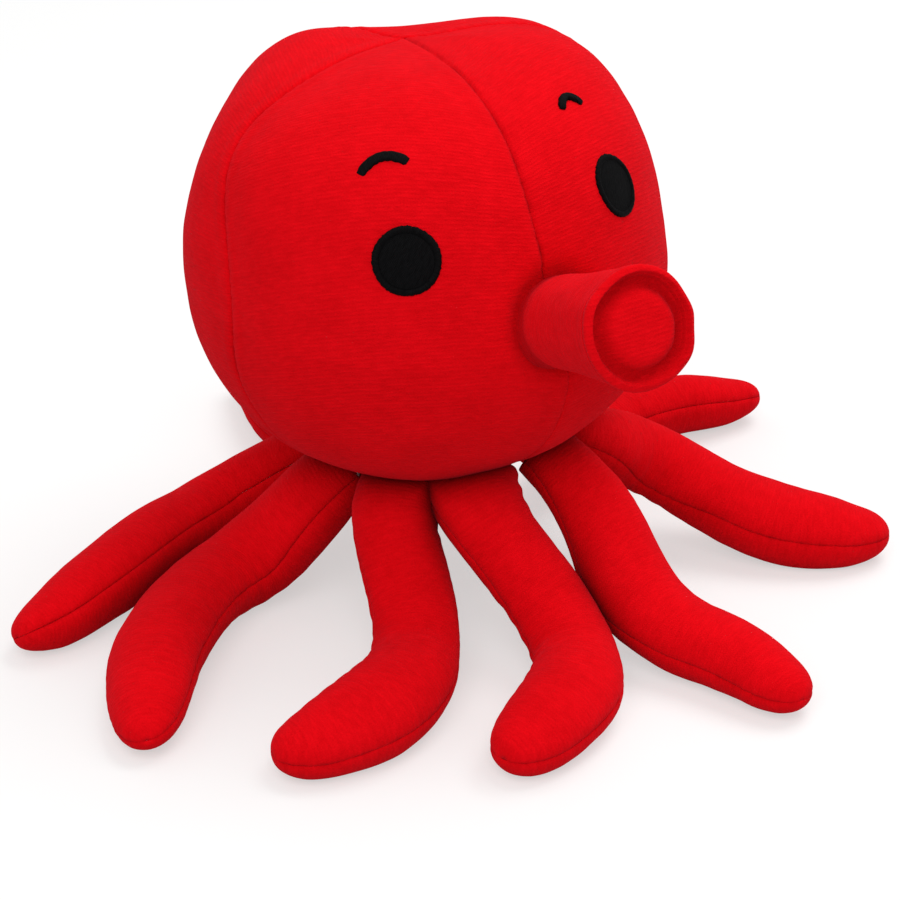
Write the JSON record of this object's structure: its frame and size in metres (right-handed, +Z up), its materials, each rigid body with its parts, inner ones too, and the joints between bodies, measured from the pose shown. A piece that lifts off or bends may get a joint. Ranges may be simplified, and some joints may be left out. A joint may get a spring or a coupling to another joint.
{
  "type": "plush octopus",
  "caption": "Stuffed plush octopus: a round four-gore head with stitched eyes and a tube mouth, over curled legs that lift at the base seam.",
  "frame": {"origin": "on the table, under the middle of the toy's overall width and depth", "axes": "+Z is up from the table; the face looks along -Y, slightly up and to one side; +X is the octopus's own left"},
  "size_m": [0.278, 0.2698, 0.1688],
  "materials": {
    "red_plush": "short brushed knitted pile, fine ribs, matt with a soft sheen",
    "black_thread": "satin-stitched embroidery thread, faint sheen",
    "white_filling": "loose polyester fibre, out of sight"
  },
  "bodies": {
    "head": {"gore_front_left": "red_plush", "gore_back_left": "red_plush", "gore_back_right": "red_plush", "gore_front_right": "red_plush", "base_panel": "red_plush", "head_filling": "white_filling", "eye_left": "black_thread", "eye_right": "black_thread", "brow_left": "black_thread", "brow_right": "black_thread", "mouth_tube": "red_plush", "mouth_end": "red_plush", "mouth_filling": "white_filling"},
    "leg_left_front": {"leg_left_front_top": "red_plush", "leg_left_front_sole": "red_plush", "leg_left_front_filling": "white_filling"},
    "leg_left_second": {"leg_left_second_top": "red_plush", "leg_left_second_sole": "red_plush", "leg_left_second_filling": "white_filling"},
    "leg_left_third": {"leg_left_third_top": "red_plush", "leg_left_third_sole": "red_plush", "leg_left_third_filling": "white_filling"},
    "leg_left_rear": {"leg_left_rear_top": "red_plush", "leg_left_rear_sole": "red_plush", "leg_left_rear_filling": "white_filling"},
    "leg_right_rear": {"leg_right_rear_top": "red_plush", "leg_right_rear_sole": "red_plush", "leg_right_rear_filling": "white_filling"},
    "leg_right_third": {"leg_right_third_top": "red_plush", "leg_right_third_sole": "red_plush", "leg_right_third_filling": "white_filling"},
    "leg_right_second": {"leg_right_second_top": "red_plush", "leg_right_second_sole": "red_plush", "leg_right_second_filling": "white_filling"},
    "leg_right_front": {"leg_right_front_top": "red_plush", "leg_right_front_sole": "red_plush", "leg_right_front_filling": "white_filling"}
  },
  "joints": [
    {"name": "leg_left_front_lift", "type": "hinge", "parent": "head", "child": "leg_left_front", "pos_m": [0.01014, -0.03746, 0.0511], "axis": [-0.8922, -0.4512, -0.0187], "range_deg": [-5, 35], "stiffness_Nm_per_rad": 0.12},
    {"name": "leg_left_second_lift", "type": "hinge", "parent": "head", "child": "leg_left_second", "pos_m": [0.02486, -0.0208, 0.05038], "axis": [-0.3489, -0.934, 0.0766], "range_deg": [-20, 35], "stiffness_Nm_per_rad": 0.12},
    {"name": "leg_left_third_lift", "type": "hinge", "parent": "head", "child": "leg_left_third", "pos_m": [0.0246, 0.00129, 0.04792], "axis": [0.3818, -0.9149, 0.1307], "range_deg": [-20, 35], "stiffness_Nm_per_rad": 0.12},
    {"name": "leg_left_rear_lift", "type": "hinge", "parent": "head", "child": "leg_left_rear", "pos_m": [0.00866, 0.01724, 0.04493], "axis": [0.9145, -0.3884, 0.1134], "range_deg": [-20, 35], "stiffness_Nm_per_rad": 0.12},
    {"name": "leg_right_rear_lift", "type": "hinge", "parent": "head", "child": "leg_right_rear", "pos_m": [-0.01596, 0.01683, 0.04308], "axis": [0.9072, 0.4201, 0.0233], "range_deg": [-5, 30], "stiffness_Nm_per_rad": 0.12},
    {"name": "leg_right_third_lift", "type": "hinge", "parent": "head", "child": "leg_right_third", "pos_m": [-0.03158, 0.0003, 0.0437], "axis": [0.3652, 0.9279, -0.0747], "range_deg": [-20, 35], "stiffness_Nm_per_rad": 0.12},
    {"name": "leg_right_second_lift", "type": "hinge", "parent": "head", "child": "leg_right_second", "pos_m": [-0.02977, -0.02562, 0.04671], "axis": [-0.4912, 0.8608, -0.1331], "range_deg": [-20, 35], "stiffness_Nm_per_rad": 0.12},
    {"name": "leg_right_front_lift", "type": "hinge", "parent": "head", "child": "leg_right_front", "pos_m": [-0.01398, -0.03885, 0.04939], "axis": [-0.934, 0.34, -0.1095], "range_deg": [-5, 35], "stiffness_Nm_per_rad": 0.12}
  ]
}
